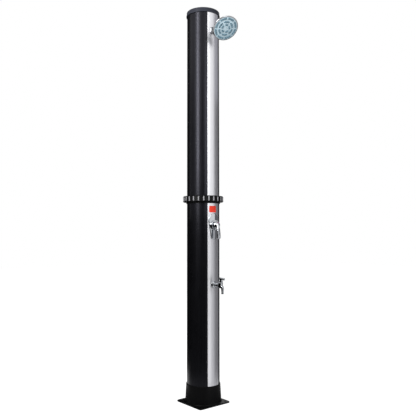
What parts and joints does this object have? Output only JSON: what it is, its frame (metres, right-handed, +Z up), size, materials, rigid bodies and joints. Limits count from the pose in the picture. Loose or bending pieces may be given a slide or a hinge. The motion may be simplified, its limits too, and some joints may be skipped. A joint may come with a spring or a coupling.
{
  "type": "outdoor shower post",
  "caption": "Round two-section solar shower post with a foot plate, threaded union, swivelling rose, lever mixer and foot tap.",
  "frame": {"origin": "centre of the foot's underside, on the ground", "axes": "+Z up along the post, -Y to the front where the fittings are, +X to the right seen from the front"},
  "size_m": [0.2232, 0.3639, 2.17],
  "materials": {
    "black_tube": "satin extruded tube",
    "black_moulded": "satin moulded",
    "silver_panel": "satin anodised",
    "inner_plastic": "plain moulded",
    "label_red": "plain sticker",
    "rubber": "plain",
    "chrome": "polished",
    "brass": "cast and turned",
    "steel": "plain",
    "rose_grey": "chromed plastic",
    "rose_face": "pale moulded",
    "rose_pads": "soft"
  },
  "bodies": {
    "post": {"foot": "black_moulded", "lower_tank": "black_tube", "upper_tank": "black_tube", "lower_tank_floor": "black_moulded", "upper_tank_roof": "black_moulded", "lower_front_panel": "silver_panel", "upper_front_panel": "silver_panel", "label": "label_red", "lower_tank_head": "black_moulded", "upper_tank_base": "black_moulded", "face_ring": "rubber", "spigot_rings": "rubber", "top_cap": "black_moulded", "hot_pipe_lower": "inner_plastic", "hot_pipe_upper": "inner_plastic", "riser_lower": "inner_plastic", "riser_upper": "inner_plastic", "cold_pipe": "inner_plastic", "tap_tee": "inner_plastic", "fill_tee": "inner_plastic", "mixer_valve": "brass", "mixer_washer": "rubber", "mixer_escutcheon": "chrome", "mixer_clamp_nut": "brass", "mixer_cartridge": "inner_plastic", "mixer_shroud": "chrome", "tap_rosette": "chrome", "tap_body": "chrome", "tap_nozzle": "chrome", "tap_bonnet": "chrome", "tap_back_nut": "brass", "tap_washer": "rubber", "arm_bracket": "chrome", "shower_arm": "chrome", "arm_back_nut": "brass", "arm_washer": "rubber", "inlet_connector": "brass", "inlet_washer": "rubber", "inlet_back_nut": "brass", "drain_plug": "black_moulded", "drain_washer": "rubber", "drain_back_nut": "inner_plastic"},
    "collar": {"union_nut": "black_moulded"},
    "ball_ring": {"ball_seat": "inner_plastic"},
    "rose": {"swivel_nut": "rose_grey", "rose_shell": "rose_grey", "rose_face": "rose_face", "nozzle_pads": "rose_pads"},
    "turret": {"mixer_turret": "chrome"},
    "lever": {"mixer_lever": "chrome", "mixer_stem": "steel", "lever_screw": "steel"},
    "tap_key": {"tap_handle": "chrome", "tap_spindle": "brass"}
  },
  "joints": [
    {"name": "union_turn", "type": "hinge", "parent": "post", "child": "collar", "pos_m": [0, 0, 1.107], "axis": [0, 0, 1], "range_deg": [0, 180]},
    {"name": "rose_swing", "type": "hinge", "parent": "post", "child": "ball_ring", "pos_m": [0, -0.1728, 2.0512], "axis": [0, 0, 1], "range_deg": [-10, 34]},
    {"name": "rose_tilt", "type": "hinge", "parent": "ball_ring", "child": "rose", "pos_m": [0, -0.1728, 2.0512], "axis": [0.9781, -0.2079, 0], "range_deg": [-15, 15]},
    {"name": "mixer_turn", "type": "hinge", "parent": "post", "child": "turret", "pos_m": [0, -0.1098, 0.966], "axis": [0, -1, 0], "range_deg": [-45, 45]},
    {"name": "mixer_lift", "type": "hinge", "parent": "turret", "child": "lever", "pos_m": [0, -0.1098, 0.966], "axis": [-1, 0, 0], "range_deg": [0, 25]},
    {"name": "tap_turn", "type": "hinge", "parent": "post", "child": "tap_key", "pos_m": [0, -0.1443, 0.645], "axis": [0, -0.2419, 0.9703], "range_deg": [0, 90]}
  ]
}
